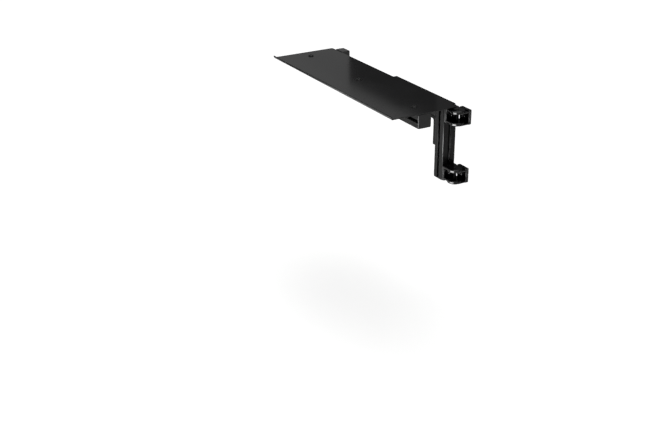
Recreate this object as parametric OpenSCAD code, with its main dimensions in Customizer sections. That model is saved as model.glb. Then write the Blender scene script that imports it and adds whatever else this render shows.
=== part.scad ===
// Swing-out side table for a slotted aluminium frame.
// Two lapped pivot joints carry a short post, so the table swings. A corner bracket slides
// up and down the post and carries an arm, and two cross plates join the arm to the beam
// under a sheet steel tray.
// Frame: the origin is the centre of the upper fixed leaf's back face, which lies on the
// upright. +X points into that upright, +Y runs along the tray and +Z is up.

/* [Slotted profile] */
// Side of the square profile
prof = 40; // [36:1:44]
// Radius of the profile's outer corners
prof_corner_r = 3.5; // [1:0.5:5]
// Width of the slot's mouth
slot_w = 8.6; // [8.2:0.1:9]
// Thickness of the lips beside the mouth
lip_t = 4.5; // [3.5:0.1:5.5]
// Width of the channel under the lips
chan_w = 20; // [18:0.5:21]
// Straight height of the channel's side walls
chan_wall = 1.8; // [1:0.1:2.5]
// Depth of the slot from the outer face
slot_d = 12.3; // [11.5:0.1:12.8]
// Bore along the profile's middle
core_bore_d = 6.8; // [5:0.1:7]

/* [End caps] */
// Thickness of an end cap
cap_t = 3; // [2:0.5:5]
// How far the cap's edge stays inside the profile's outline
cap_inset = 0.4; // [0.2:0.1:1]
// Length of the cap's plug in the bore
cap_plug = 9; // [5:1:15]

/* [Pivot joints] */
// Height of a leaf's foot
leaf_h = 40; // [38:1:44]
// How far the ears stay inside the foot's ends
stack_inset = 0; // [0:0.25:2]
// Distance between the middles of the two joints
hinge_pitch = 162; // [120:1:220]
// Thickness of the foot that lies on the profile
foot_t = 4.5; // [3.5:0.5:6]
// Depth of the leaf's body, foot included
body_t = 8.5; // [7.5:0.5:10]
// How far the body stands in from the foot's outline
body_inset = 0.6; // [0.2:0.1:1]
// Radius of the corners of the foot and the body
leaf_corner_r = 1.2; // [0.5:0.1:2]
// Thickness of the walls beside the pocket of the bolt's head
pocket_wall = 2.4; // [1.5:0.1:5]
// Thickness of one ear, with its share of the gap
ear_t = 4.2; // [3.5:0.1:6]
// Radius along the outer edges of each lapped pair of ears
ear_round = 2.5; // [0.5:0.25:3]
// Gap between two ears where they lap
lap_gap = 0.3; // [0.2:0.05:0.5]
// Gap between an ear's round nose and the other leaf's body
nose_gap = 1.5; // [1:0.1:3]
// Diameter of the hinge pin
pin_d = 8; // [6:0.5:10]
// Radial clearance of the pin in the fixed leaf
pin_press = 0.02; // [0.01:0.01:0.04]
// Radial clearance of the pin in the moving leaf
pin_run = 0.06; // [0.03:0.01:0.1]

/* [Bolts and slot nuts] */
// Thread diameter of the bolts
bolt_d = 8; // [6:1:8]
// Diameter of a cap bolt's head
head_d = 13; // [12:0.5:14]
// Height of a cap bolt's head
head_h = 8; // [6:0.5:9]
// Width across the flats of the hexagon socket
hex_w = 6; // [4:0.5:7]
// Radial clearance of a bolt in a plain hole
hole_gap = 0.4; // [0.2:0.1:0.6]
// Radial clearance of a thread in its nut
thread_gap = 0.05; // [0.02:0.01:0.1]
// Length of a slot nut
nut_len = 20; // [14:1:24]
// Clearance of a nut in its slot
nut_gap = 0.3; // [0.2:0.05:0.5]
// Height of a nut under the lips
nut_h = 6; // [4.5:0.5:6.5]
// How far a nut's collar rises into the mouth
nut_collar = 2; // [1:0.5:3]
// Length of thread that stands out of the back of a leaf
stud_out = 9; // [6:0.5:11]

/* [Post] */
// How far the post stops short of the upper leaf's top
post_short = 2; // [0:0.5:4]

/* [Corner bracket] */
// Length of each leg
leg_len = 80; // [70:1:90]
// Thickness of the legs
leg_t = 9; // [6:0.5:10]
// Width of the bracket
bracket_w = 38; // [30:1:38]
// Radius of the fillet between the legs
bracket_fillet = 6; // [3:0.5:10]
// Distance from the bracket's corner to the nearer bolt
leg_hole_near = 30; // [26:1:34]
// Distance between the two bolts of a leg
leg_hole_pitch = 32; // [26:1:36]
// Sliding gap between the post and what moves along it
slide_gap = 0.3; // [0.1:0.05:0.4]

/* [Arm] */
// Length of the arm
arm_len = 238; // [236:1:320]
// Gap between the post's top cap and the tray
tray_gap = 3; // [2:0.5:6]

/* [Tray] */
// Length of the tray
tray_len = 655; // [520:5:760]
// Depth of the tray from the front lip to the back edge
tray_depth = 201.6; // [185:0.1:230]
// Distance of the tray's back edge from the upright's face
tray_setback = 27.4; // [24:0.1:36]
// Distance of the tray's near end past the pin
tray_start = 5; // [2:0.5:12]
// Thickness of the sheet
sheet_t = 2.5; // [1.5:0.5:3]
// Height of the front lip from the tray's underside
lip_h = 8; // [6:0.5:20]
// Inner radius of the lip's bend
bend_r = 2; // [1:0.5:4]
// Radius of the tray's corners
tray_corner_r = 4; // [2:0.5:8]
// How far the tab over the arm stands out of the back edge
tab_out = 11.7; // [4:0.1:13]
// Start of the tab, measured from the tray's near end
tab_start = 23.6; // [15:0.1:40]
// How far the tab passes the arm's end cap
tab_past = 1; // [0:0.5:4]

/* [Beam] */
// Distance of the beam's middle from the tray's front edge
beam_from_front = 102.8; // [80:0.1:104]
// How far the beam's capped ends stay inside the tray's ends
beam_inset = 2; // [0:0.5:10]
// Distance of the first tray screw from the tray's near end
screw_start = 53; // [30:1:80]
// Distance of the last tray screw from the tray's far end
screw_end = 44; // [30:1:80]
// Number of tray screws
screw_count = 3; // [2:1:3]
// Diameter of a tray screw's dome
dome_d = 14; // [12:0.5:16]
// Height of the head, flange included
dome_h = 4.4; // [3:0.1:5]
// How far the flange stands out round the dome
dome_flange = 1.4; // [1:0.1:2]
// Height of the flange
dome_flange_h = 1.3; // [1:0.1:2]
// Hexagon socket of a tray screw
dome_hex = 5; // [4:0.5:6]

/* [Cross plates] */
// Width of a cross plate along the arm
cross_w = 40; // [30:1:44]
// Thickness of a cross plate
cross_t = 5; // [4:0.5:8]
// Gap between the bracket's leg and the near cross plate
cross_clear = 25; // [22:1:30]
// Distance between the middles of the cross plates
cross_pitch = 75; // [66:1:80]
// Radius of a cross plate's corners
cross_corner_r = 4; // [2:0.5:8]

/* [Far rest] */
// Distance of the far upright's middle from the tray's far end
rest_from_end = 40; // [30:1:60]
// Width of the rest
rest_w = 38; // [30:1:40]
// How far the stop rises over the tray's underside
stop_rise = 4; // [2:0.5:8]
// Height of the rest's block on the upright
rest_h = 40; // [36:1:60]
// How far the shelf reaches under the tray
shelf_reach = 20; // [12:1:40]
// Thickness of the shelf and of its flange on the block
shelf_t = 4; // [3:0.5:6]
// Inner radius of the shelf's bend
shelf_bend_r = 2; // [1:0.5:4]
// Thickness of the rubber pad
pad_t = 2; // [1:0.5:4]
// How far the pad stays inside the shelf's edges
pad_inset = 1; // [0.5:0.5:3]
// Gap between the tray and the pad or the stop at rest
rest_gap = 0.3; // [0.2:0.1:0.6]

/* [Hidden] */

$fn = 96;
// Smoothness of small round details
small_fn = 48;
// Overshoot of a cutting tool past the face that it opens
over = 1;

half = prof / 2;
// Depth of a nut's outer face below the profile's surface, and depth that a bolt reaches
nut_top = lip_t + nut_gap;
thread_reach = nut_top + nut_h - nut_gap;

// Leaf of a pivot joint: half widths, and the distance from the pin to the leaf's back face
leaf_half = half;
body_half = leaf_half - body_inset;
pocket_half = body_half - pocket_wall;
pin_reach = leaf_half + nose_gap + body_t;
foot_x = pin_reach - foot_t;
// Half the height of the ears' stack and of the window between them
stack_half = leaf_h / 2 - stack_inset;
window_half = stack_half - 2 * ear_t;
ear_h = ear_t - lap_gap / 2;

// Hinge axis and the post beyond it
pin_x = -pin_reach;
post_face_y = pin_reach;
post_y = post_face_y + half;
post_back_y = post_face_y + prof;
post_top = leaf_h / 2 - post_short;
post_bottom = -hinge_pitch - leaf_h / 2;
post_len = post_top - post_bottom;

// Tray level, and the arm and the beam that hang from it
tray_z = post_top + cap_t + tray_gap;
rail_z = tray_z - half;
rail_bottom = tray_z - prof;

bracket_y = post_back_y + slide_gap;
arm_y0 = bracket_y;
arm_y1 = arm_y0 + arm_len;
// Distances of a bracket leg's holes from the bracket's corner
leg_holes = [for (i = [0, 1]) leg_hole_near + i * leg_hole_pitch];

// Tray outline
tray_back_x = -tray_setback;
tray_front_x = tray_back_x - tray_depth;
tray_y0 = tray_start;
tray_y1 = tray_y0 + tray_len;
tab_y0 = tray_y0 + tab_start;
tab_y1 = arm_y1 + cap_t + tab_past;
beam_x = tray_front_x + beam_from_front;
beam_y0 = tray_y0 + beam_inset + cap_t;
beam_y1 = tray_y1 - beam_inset - cap_t;
beam_len = beam_y1 - beam_y0;
screw_pitch = (tray_len - screw_start - screw_end) / (screw_count - 1);
screw_y = [for (i = [0 : screw_count - 1]) tray_y0 + screw_start + i * screw_pitch];

// Cross plates under the arm and the beam
cross_y = [for (i = [0, 1]) bracket_y + leg_len + cross_clear + cross_w / 2 + i * cross_pitch];
cross_x0 = beam_x - half;
cross_x1 = pin_x + half;

// Far rest, in line with the far upright
rest_y = tray_y1 - rest_from_end;
rest_front_x = tray_back_x + rest_gap;
shelf_top = tray_z - rest_gap - pad_t;
rest_top = tray_z + stop_rise;
rest_bottom = rest_top - rest_h;
rest_bolt_z = (rest_bottom + shelf_top - shelf_t) / 2;
shelf_back_x = rest_front_x;

anodised = [0.07, 0.07, 0.075];
die_cast = [0.03, 0.03, 0.032];
powder = [0.09, 0.09, 0.095];
plastic = [0.1, 0.1, 0.105];
zinc = [0.62, 0.63, 0.65];
black_steel = [0.05, 0.05, 0.05];
rubber = [0.03, 0.03, 0.03];

// A square with rounded corners, from two bars and four discs
module rounded_rect(x0, y0, x1, y1, r) {
  translate([x0 + r, y0]) square([x1 - x0 - 2 * r, y1 - y0]);
  translate([x0, y0 + r]) square([x1 - x0, y1 - y0 - 2 * r]);
  for (x = [x0 + r, x1 - r], y = [y0 + r, y1 - r]) translate([x, y]) circle(r = r, $fn = small_fn);
}

// One slot of the profile, opening towards +Y of the section
module slot_section() {
  lip_y = half - lip_t;
  wall_y = lip_y - chan_wall;
  floor_y = half - slot_d;
  // The flanks run in at 45 degrees from the channel's walls to its floor
  floor_half = chan_w / 2 - (wall_y - floor_y);
  polygon([
    [-slot_w / 2, half + over], [slot_w / 2, half + over], [slot_w / 2, lip_y],
    [chan_w / 2, lip_y], [chan_w / 2, wall_y], [floor_half, floor_y],
    [-floor_half, floor_y], [-chan_w / 2, wall_y], [-chan_w / 2, lip_y], [-slot_w / 2, lip_y]
  ]);
}

// Square profile with a slot on each side, standing on z = 0
module profile(length) {
  linear_extrude(height = length) difference() {
    rounded_rect(-half, -half, half, half, prof_corner_r);
    for (a = [0 : 90 : 270]) rotate(a) slot_section();
    circle(d = core_bore_d, $fn = small_fn);
  }
}

// End cap whose plate lies on z = 0 to cap_t, with its plug below
module end_cap() {
  color(plastic) {
    linear_extrude(height = cap_t)
      rounded_rect(-half + cap_inset, -half + cap_inset, half - cap_inset, half - cap_inset,
        prof_corner_r);
    translate([0, 0, -cap_plug]) cylinder(h = cap_plug, d = core_bore_d - hole_gap, $fn = small_fn);
  }
}

// Section of an ear from the pin to one side, with its upper corner rounded
module ear_section() {
  flat = leaf_half - ear_round;
  intersection() {
    square([leaf_half, ear_h]);
    union() {
      square([flat, ear_h]);
      square([leaf_half, ear_h - ear_round]);
      translate([flat, ear_h - ear_round]) circle(r = ear_round, $fn = small_fn);
    }
  }
}

// An ear from z = 0 up: its nose is round the pin and its sides run straight to the foot
module ear() {
  rotate_extrude() ear_section();
  rotate([90, 0, 90]) linear_extrude(height = foot_x)
    for (side = [0, 1]) mirror([side, 0]) ear_section();
}

// One leaf of a pivot joint with the pin on the Z axis and the foot towards +X.
// Each end of the joint laps two ears, and this leaf's ears are the upper one of each pair.
module leaf(bore_gap) {
  color(die_cast) difference() {
    union() {
      // Foot on the profile
      translate([foot_x, 0, 0]) rotate([90, 0, 90]) linear_extrude(height = foot_t)
        rounded_rect(-leaf_half, -leaf_h / 2, leaf_half, leaf_h / 2, leaf_corner_r);
      translate([0, 0, -stack_half]) linear_extrude(height = 2 * stack_half)
        rounded_rect(pin_reach - body_t, -body_half, pin_reach - foot_t / 2, body_half, leaf_corner_r);
      for (z = [-window_half - ear_h, stack_half - ear_h]) translate([0, 0, z]) ear();
    }
    // Pocket of the bolt's head, open to the window between the ears
    translate([0, -pocket_half, -window_half]) cube([foot_x, 2 * pocket_half, 2 * window_half]);
    // Hole of the fixing bolt
    translate([foot_x - over, 0, 0]) rotate([0, 90, 0])
      cylinder(h = foot_t + 2 * over, r = bolt_d / 2 + hole_gap, $fn = small_fn);
    // Pin bores
    translate([0, 0, -leaf_h / 2 - over])
      cylinder(h = leaf_h + 2 * over, r = pin_d / 2 + bore_gap, $fn = small_fn);
  }
}

// A leaf turned over, so that its ears are the lower one of each pair
module flipped_leaf(bore_gap) {
  rotate([180, 0, 0]) leaf(bore_gap);
}

// Puts a leaf's children at the upper or the lower joint
module at_joint(i) {
  translate([pin_x, 0, -i * hinge_pitch]) children();
}

// Cap bolt along -Z: the head's seat is z = 0 and the thread runs down
module cap_bolt(length) {
  color(black_steel) difference() {
    union() {
      cylinder(h = head_h, d = head_d, $fn = small_fn);
      translate([0, 0, -length]) cylinder(h = length, d = bolt_d, $fn = small_fn);
    }
    translate([0, 0, head_h / 2]) cylinder(h = head_h, d = hex_w / cos(30), $fn = 6);
  }
}

// Slot nut under the lips. The profile's outer face is z = 0, the slot runs along Y
// and the thread is on the Z axis.
module slot_nut() {
  wide = chan_w / 2 - nut_gap;
  // The nut's flanks follow the channel's 45 degree flanks
  low = wide - (nut_h - chan_wall + nut_gap) - nut_gap;
  color(zinc) difference() {
    union() {
      rotate([90, 0, 0]) translate([0, 0, -nut_len / 2]) linear_extrude(height = nut_len) polygon([
        [-wide, -nut_top], [wide, -nut_top], [wide, -lip_t - chan_wall],
        [low, -nut_top - nut_h], [-low, -nut_top - nut_h], [-wide, -lip_t - chan_wall]
      ]);
      translate([-slot_w / 2 + nut_gap, -nut_len / 2, -nut_top - over])
        cube([slot_w - 2 * nut_gap, nut_len, nut_collar + over]);
    }
    translate([0, 0, -slot_d - over])
      cylinder(h = slot_d + 2 * over, r = bolt_d / 2 + thread_gap, $fn = small_fn);
  }
}

module upper_fixed_leaf() { at_joint(0) flipped_leaf(pin_press); }
module lower_fixed_leaf() { at_joint(1) flipped_leaf(pin_press); }

// The moving leaves stand at a right angle to the fixed ones
module upper_moving_leaf() { at_joint(0) rotate(90) leaf(pin_run); }
module lower_moving_leaf() { at_joint(1) rotate(90) leaf(pin_run); }

module fixed_leaf_bolts() {
  for (i = [0, 1]) translate([-foot_t, 0, -i * hinge_pitch]) rotate([0, -90, 0])
    cap_bolt(foot_t + stud_out);
}

module moving_leaf_bolts() {
  for (i = [0, 1]) translate([pin_x, post_face_y - foot_t, -i * hinge_pitch]) rotate([90, 0, 0])
    cap_bolt(foot_t + thread_reach);
}

module moving_leaf_nuts() {
  for (i = [0, 1])
    translate([pin_x, post_face_y, -i * hinge_pitch]) rotate([90, 0, 0]) slot_nut();
}

module hinge_pins() {
  color(zinc) for (i = [0, 1]) at_joint(i) translate([0, 0, -stack_half])
    cylinder(h = 2 * stack_half, d = pin_d, $fn = small_fn);
}

module arm_post() {
  color(anodised) translate([pin_x, post_y, post_bottom]) profile(post_len);
}

module post_top_cap() { translate([pin_x, post_y, post_top]) end_cap(); }

module post_bottom_cap() { translate([pin_x, post_y, post_bottom]) rotate([180, 0, 0]) end_cap(); }

// Bracket section in the YZ plane, with its outer corner at the section's origin:
// one leg runs down the post and the other lies under the arm.
module bracket_section() {
  difference() {
    union() {
      translate([0, -leg_len]) square([leg_t, leg_len]);
      translate([0, -leg_t]) square([leg_len, leg_t]);
      translate([0, -leg_t - bracket_fillet]) square(leg_t + bracket_fillet);
    }
    translate([leg_t + bracket_fillet, -leg_t - bracket_fillet])
      circle(r = bracket_fillet, $fn = small_fn);
  }
}

module corner_bracket() {
  color(die_cast) difference() {
    translate([pin_x - bracket_w / 2, bracket_y, rail_bottom]) rotate([90, 0, 90])
      linear_extrude(height = bracket_w) bracket_section();
    for (d = leg_holes) {
      translate([pin_x, bracket_y - over, rail_bottom - d]) rotate([-90, 0, 0])
        cylinder(h = leg_t + 2 * over, r = bolt_d / 2 + hole_gap, $fn = small_fn);
      translate([pin_x, bracket_y + d, rail_bottom - leg_t - over])
        cylinder(h = leg_t + 2 * over, r = bolt_d / 2 + hole_gap, $fn = small_fn);
    }
  }
}

module bracket_post_bolts() {
  for (d = leg_holes) translate([pin_x, bracket_y + leg_t, rail_bottom - d]) rotate([-90, 0, 0])
    cap_bolt(leg_t + slide_gap + thread_reach);
}

module bracket_post_nuts() {
  for (d = leg_holes)
    translate([pin_x, post_back_y, rail_bottom - d]) rotate([-90, 0, 0]) slot_nut();
}

module bracket_arm_bolts() {
  for (d = leg_holes) translate([pin_x, bracket_y + d, rail_bottom - leg_t]) rotate([180, 0, 0])
    cap_bolt(leg_t + thread_reach);
}

module bracket_arm_nuts() {
  for (d = leg_holes)
    translate([pin_x, bracket_y + d, rail_bottom]) rotate([180, 0, 0]) slot_nut();
}

module table_arm() {
  color(anodised) translate([pin_x, arm_y0, rail_z]) rotate([-90, 0, 0]) profile(arm_len);
}

module arm_end_cap() { translate([pin_x, arm_y1, rail_z]) rotate([-90, 0, 0]) end_cap(); }

// Flat plate that joins the arm to the beam from below
module cross_plate(y) {
  color(powder) translate([0, y, rail_bottom - cross_t]) difference() {
    linear_extrude(height = cross_t)
      rounded_rect(cross_x0, -cross_w / 2, cross_x1, cross_w / 2, cross_corner_r);
    for (x = [beam_x, pin_x]) translate([x, 0, -over])
      cylinder(h = cross_t + 2 * over, r = bolt_d / 2 + hole_gap, $fn = small_fn);
  }
}

module near_cross_plate() { cross_plate(cross_y[0]); }
module far_cross_plate() { cross_plate(cross_y[1]); }

module cross_bolts(x) {
  for (y = cross_y) translate([x, y, rail_bottom - cross_t]) rotate([180, 0, 0])
    cap_bolt(cross_t + thread_reach);
}

module cross_nuts(x) {
  for (y = cross_y) translate([x, y, rail_bottom]) rotate([180, 0, 0]) slot_nut();
}

module cross_arm_bolts() { cross_bolts(pin_x); }
module cross_arm_nuts() { cross_nuts(pin_x); }
module cross_beam_bolts() { cross_bolts(beam_x); }
module cross_beam_nuts() { cross_nuts(beam_x); }

module tray_beam() {
  color(anodised) translate([beam_x, beam_y0, rail_z]) rotate([-90, 0, 0]) profile(beam_len);
}

module beam_near_cap() { translate([beam_x, beam_y0, rail_z]) rotate([90, 0, 0]) end_cap(); }
module beam_far_cap() { translate([beam_x, beam_y1, rail_z]) rotate([-90, 0, 0]) end_cap(); }

// Folded sheet: a flat with a tab over the arm, and a bent lip along the front
module tray_plate() {
  bend_out = bend_r + sheet_t;
  flat_x = tray_front_x + bend_out;
  tab_r = tray_corner_r / 2;
  color(powder) {
    difference() {
      union() {
        translate([0, 0, tray_z]) linear_extrude(height = sheet_t) {
          rounded_rect(flat_x, tray_y0, tray_back_x, tray_y1, tray_corner_r);
          // The flat is square where it meets the bend
          translate([flat_x, tray_y0]) square([2 * tray_corner_r, tray_len]);
          rounded_rect(tray_back_x - 2 * tab_r, tab_y0, tray_back_x + tab_out, tab_y1, tab_r);
        }
        // The bend and the lip, drawn in the XZ plane and run along the tray
        translate([flat_x, tray_y1, tray_z + bend_out]) rotate([90, 0, 0])
          linear_extrude(height = tray_len) {
            difference() {
              intersection() {
                circle(r = bend_out, $fn = small_fn);
                translate([-bend_out, -bend_out]) square(bend_out);
              }
              circle(r = bend_r, $fn = small_fn);
            }
            translate([-bend_out, 0]) square([sheet_t, lip_h - bend_out]);
          }
      }
      for (y = screw_y) translate([beam_x, y, tray_z - over])
        cylinder(h = sheet_t + 2 * over, r = bolt_d / 2 + hole_gap, $fn = small_fn);
    }
  }
}

// Domed head on a flange, hollowed by a hexagon socket: the seat is z = 0
module domed_screw(length) {
  dome_rise = dome_h - dome_flange_h;
  dome_r = (pow(dome_d / 2, 2) + pow(dome_rise, 2)) / (2 * dome_rise);
  color(black_steel) difference() {
    union() {
      intersection() {
        translate([0, 0, dome_h - dome_r]) sphere(r = dome_r, $fn = small_fn);
        cylinder(h = dome_h, d = dome_d, $fn = small_fn);
      }
      cylinder(h = dome_flange_h, r = dome_d / 2 + dome_flange, $fn = small_fn);
      translate([0, 0, -length]) cylinder(h = length, d = bolt_d, $fn = small_fn);
    }
    translate([0, 0, dome_h / 2]) cylinder(h = dome_h, d = dome_hex / cos(30), $fn = 6);
  }
}

module tray_screws() {
  for (y = screw_y) translate([beam_x, y, tray_z + sheet_t]) domed_screw(sheet_t + thread_reach);
}

module tray_nuts() {
  for (y = screw_y) translate([beam_x, y, tray_z]) slot_nut();
}

// Block on the far upright, which stops the tray's back edge
module far_rest() {
  color(die_cast) translate([0, rest_y, 0]) difference() {
    translate([rest_front_x, -rest_w / 2, rest_bottom]) cube([-rest_front_x, rest_w, rest_h]);
    translate([rest_front_x - over, 0, rest_bolt_z]) rotate([0, 90, 0])
      cylinder(h = -rest_front_x + 2 * over, r = bolt_d / 2 + hole_gap, $fn = small_fn);
  }
}

// Bent shelf under the tray's edge: one leg carries the pad and the other lies on the block
module rest_shelf() {
  bend_out = shelf_bend_r + shelf_t;
  height = shelf_top - rest_bottom;
  color(powder) translate([shelf_back_x, rest_y + rest_w / 2, shelf_top]) difference() {
    rotate([90, 0, 0]) linear_extrude(height = rest_w) {
      translate([-shelf_reach, -shelf_t]) square([shelf_reach - bend_out, shelf_t]);
      translate([-shelf_t, -height]) square([shelf_t, height - bend_out]);
      translate([-bend_out, -bend_out]) difference() {
        intersection() {
          circle(r = bend_out, $fn = small_fn);
          square(bend_out);
        }
        circle(r = shelf_bend_r, $fn = small_fn);
      }
    }
    translate([-shelf_t - over, -rest_w / 2, rest_bolt_z - shelf_top]) rotate([0, 90, 0])
      cylinder(h = shelf_t + 2 * over, r = bolt_d / 2 + hole_gap, $fn = small_fn);
  }
}

module rest_pad() {
  color(rubber) translate([rest_front_x - shelf_reach, rest_y, shelf_top])
    linear_extrude(height = pad_t)
      rounded_rect(pad_inset, pad_inset - rest_w / 2, shelf_reach - pad_inset,
        rest_w / 2 - pad_inset, 2 * pad_inset);
}

module rest_bolt() {
  seat_x = shelf_back_x - shelf_t;
  translate([seat_x, rest_y, rest_bolt_z]) rotate([0, -90, 0]) cap_bolt(-seat_x + stud_out);
}

upper_fixed_leaf();
lower_fixed_leaf();
fixed_leaf_bolts();
hinge_pins();
far_rest();
rest_shelf();
rest_pad();
rest_bolt();
upper_moving_leaf();
lower_moving_leaf();
moving_leaf_bolts();
moving_leaf_nuts();
arm_post();
post_top_cap();
post_bottom_cap();
corner_bracket();
bracket_post_bolts();
bracket_post_nuts();
bracket_arm_bolts();
bracket_arm_nuts();
table_arm();
arm_end_cap();
near_cross_plate();
far_cross_plate();
cross_arm_bolts();
cross_arm_nuts();
cross_beam_bolts();
cross_beam_nuts();
tray_beam();
beam_near_cap();
beam_far_cap();
tray_plate();
tray_screws();
tray_nuts();
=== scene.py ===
"""Looks of a swing-out side table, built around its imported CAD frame.

Sizes are in millimetres in the row frame, whose origin is the centre of the upper fixed
leaf's back face: +X points into the upright, +Y runs along the tray and +Z is up.
"""

import logging
from dataclasses import dataclass, field
from enum import Enum
from typing import Any, Sequence

import bmesh
import bpy
import numpy as np
from mathutils import Matrix, Vector
from mathutils.geometry import tessellate_polygon


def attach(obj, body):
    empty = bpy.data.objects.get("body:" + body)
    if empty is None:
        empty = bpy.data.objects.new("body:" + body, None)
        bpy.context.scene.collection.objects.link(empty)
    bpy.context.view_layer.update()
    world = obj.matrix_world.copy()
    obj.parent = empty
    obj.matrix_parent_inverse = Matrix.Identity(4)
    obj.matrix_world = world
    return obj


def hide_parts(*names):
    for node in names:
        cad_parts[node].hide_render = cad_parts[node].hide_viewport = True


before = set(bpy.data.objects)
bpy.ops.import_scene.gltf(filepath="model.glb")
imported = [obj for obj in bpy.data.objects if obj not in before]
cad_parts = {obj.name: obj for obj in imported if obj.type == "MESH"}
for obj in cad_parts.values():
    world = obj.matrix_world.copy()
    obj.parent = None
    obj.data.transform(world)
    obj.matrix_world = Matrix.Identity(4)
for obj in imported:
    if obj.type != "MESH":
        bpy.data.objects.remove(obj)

LOG = logging.getLogger("side_table")
METRES_PER_MM = 0.001
TINY_RADIUS = 0.02
# Length of a bolt from a profile's face to the bottom of its slot nut, and its hole's radius
NUT_REACH = 10.5
HOLE_RADIUS = 4.4
# Sizes of a hexagon socket's drilled point and floor, as shares of the socket's own
POINT_SHARE = 0.4
FLOOR_SHARE = 0.98
# Places of a colour mix node's sockets
MIX_FACTOR, MIX_FIRST, MIX_SECOND, MIX_RESULT = 0, 6, 7, 2

Array = np.ndarray
Vec3 = tuple[float, float, float]
Pair = tuple[float, float]


class Body(Enum):
    """Moving groups of the CAD frame that a piece can ride on."""

    UPRIGHT = "upright_side"
    POST = "swing_post"
    TABLE = "table"


class Slot(Enum):
    """Material slots of the record."""

    ANODISED = "anodised_aluminium"
    DIE_CAST = "die_cast"
    POWDER = "powder_coat"
    NYLON = "cap_plastic"
    BRIGHT = "bright_steel"
    BLACK = "black_steel"
    RUBBER = "rubber_pad"


class Grain(Enum):
    """Direction in which a drawn profile's lines run."""

    Y = 1
    Z = 2


# Geometry


@dataclass(frozen=True)
class Placement:
    """A right-handed frame that carries local points to the row frame."""

    origin: Vec3
    x: Vec3 = (1.0, 0.0, 0.0)
    y: Vec3 = (0.0, 1.0, 0.0)
    z: Vec3 = (0.0, 0.0, 1.0)

    def apply(self, points: Array) -> Array:
        """Carries points by the matrix whose rows are the three axes, then by the origin.

        Args:
            points: local points, one per row.

        Returns:
            The points in the row frame.
        """
        return points @ np.array([self.x, self.y, self.z]) + np.array(self.origin)


def along(direction: Vec3, origin: Vec3) -> Placement:
    """Frame whose z runs along one of the row's axes.

    Args:
        direction: unit vector along a row axis.
        origin: where the local origin lies.

    Returns:
        A right-handed placement with local z on the direction.
    """
    z = np.array(direction)
    helper = np.array([0.0, 0.0, 1.0]) if abs(z[2]) < 0.5 else np.array([1.0, 0.0, 0.0])
    x = np.cross(helper, z)
    y = np.cross(z, x)
    return Placement(origin, tuple(x), tuple(y), tuple(z))


@dataclass
class Shell:
    """Part of a mesh: points, faces as index lists, and which faces shade smoothly."""

    points: Array
    faces: list[list[int]]
    smooth: list[bool]

    def placed(self, placement: Placement) -> "Shell":
        """The same shell carried into the row frame."""
        return Shell(placement.apply(self.points), self.faces, self.smooth)


@dataclass(frozen=True)
class Outline:
    """Closed counter-clockwise polygon whose corners are rounded by arcs."""

    corners: tuple[tuple[float, float, float], ...]
    steps: int = 5

    def loop(self, inset: float | Array = 0.0) -> Array:
        """Points round the outline, moved inwards by an inset.

        Each corner moves along the mean of its two edge normals. Its arc then starts at
        radius * tan(turn / 2) from the corner and sweeps the turn in equal steps.

        Args:
            inset: distance inwards, one for all corners or one for each.

        Returns:
            An array of (corners * (steps + 1)) points in the plane.
        """
        spec = np.array(self.corners, float)
        point, radius = spec[:, :2], spec[:, 2]
        inset = np.broadcast_to(np.asarray(inset, float), radius.shape)
        ahead = np.roll(point, -1, axis=0) - point
        ahead /= np.linalg.norm(ahead, axis=1, keepdims=True)
        before = np.roll(ahead, 1, axis=0)
        left_before = np.stack([-before[:, 1], before[:, 0]], axis=1)
        left_ahead = np.stack([-ahead[:, 1], ahead[:, 0]], axis=1)
        cos_turn = np.sum(before * ahead, axis=1)
        turn = np.arctan2(before[:, 0] * ahead[:, 1] - before[:, 1] * ahead[:, 0], cos_turn)
        side = np.where(turn < 0, -1.0, 1.0)
        moved = point + inset[:, None] * (left_before + left_ahead) / (1 + cos_turn)[:, None]
        radius = np.maximum(radius - side * inset, TINY_RADIUS)
        tangent = radius * np.tan(np.abs(turn) / 2)
        start = moved - before * tangent[:, None]
        centre = start + left_before * (side * radius)[:, None]
        angle = np.linspace(0, 1, self.steps + 1)[None, :] * turn[:, None]
        arm = -left_before * (side * radius)[:, None]
        cos, sin = np.cos(angle), np.sin(angle)
        x = centre[:, 0, None] + cos * arm[:, 0, None] - sin * arm[:, 1, None]
        y = centre[:, 1, None] + sin * arm[:, 0, None] + cos * arm[:, 1, None]
        return np.stack([x.ravel(), y.ravel()], axis=1)

    def arcs(self) -> Array:
        """True for each loop edge that lies on an arc, False for the straight ones."""
        edge = np.arange(len(self.corners) * (self.steps + 1))
        return edge % (self.steps + 1) != self.steps


def rectangle(x0: float, y0: float, x1: float, y1: float, radius: float, steps: int = 5) -> Outline:
    """Rectangle between two opposite corners with all its corners rounded."""
    corners = ((x0, y0, radius), (x1, y0, radius), (x1, y1, radius), (x0, y1, radius))
    return Outline(corners, steps)


def circle(x: float, y: float, radius: float, count: int = 48) -> Array:
    """Points round a circle, counter-clockwise from +X."""
    angle = np.linspace(0, 2 * np.pi, count, endpoint=False)
    return np.stack([x + radius * np.cos(angle), y + radius * np.sin(angle)], axis=1)


def rim(low: float, high: float, low_round: float, high_round: float, steps: int = 3) -> Array:
    """Levels of a prism whose two ends are rounded by quarter circles.

    At an angle a from the end, the height is radius * (1 - cos a) and the inset is
    radius * (1 - sin a).

    Args:
        low: height of the lower end.
        high: height of the upper end.
        low_round: radius at the lower end, 0 for a sharp one.
        high_round: radius at the upper end, 0 for a sharp one.
        steps: steps round each quarter circle.

    Returns:
        Rows of height and inset from the bottom up.
    """
    angle = np.linspace(0, np.pi / 2, steps + 1)
    bottom = np.stack([low + low_round * (1 - np.cos(angle)), low_round * (1 - np.sin(angle))], 1)
    top = np.stack([high - high_round * (1 - np.cos(angle)), high_round * (1 - np.sin(angle))], 1)
    first = bottom if low_round > 0 else bottom[:1]
    last = top[::-1] if high_round > 0 else top[:1]
    return np.concatenate([first, last])


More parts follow.
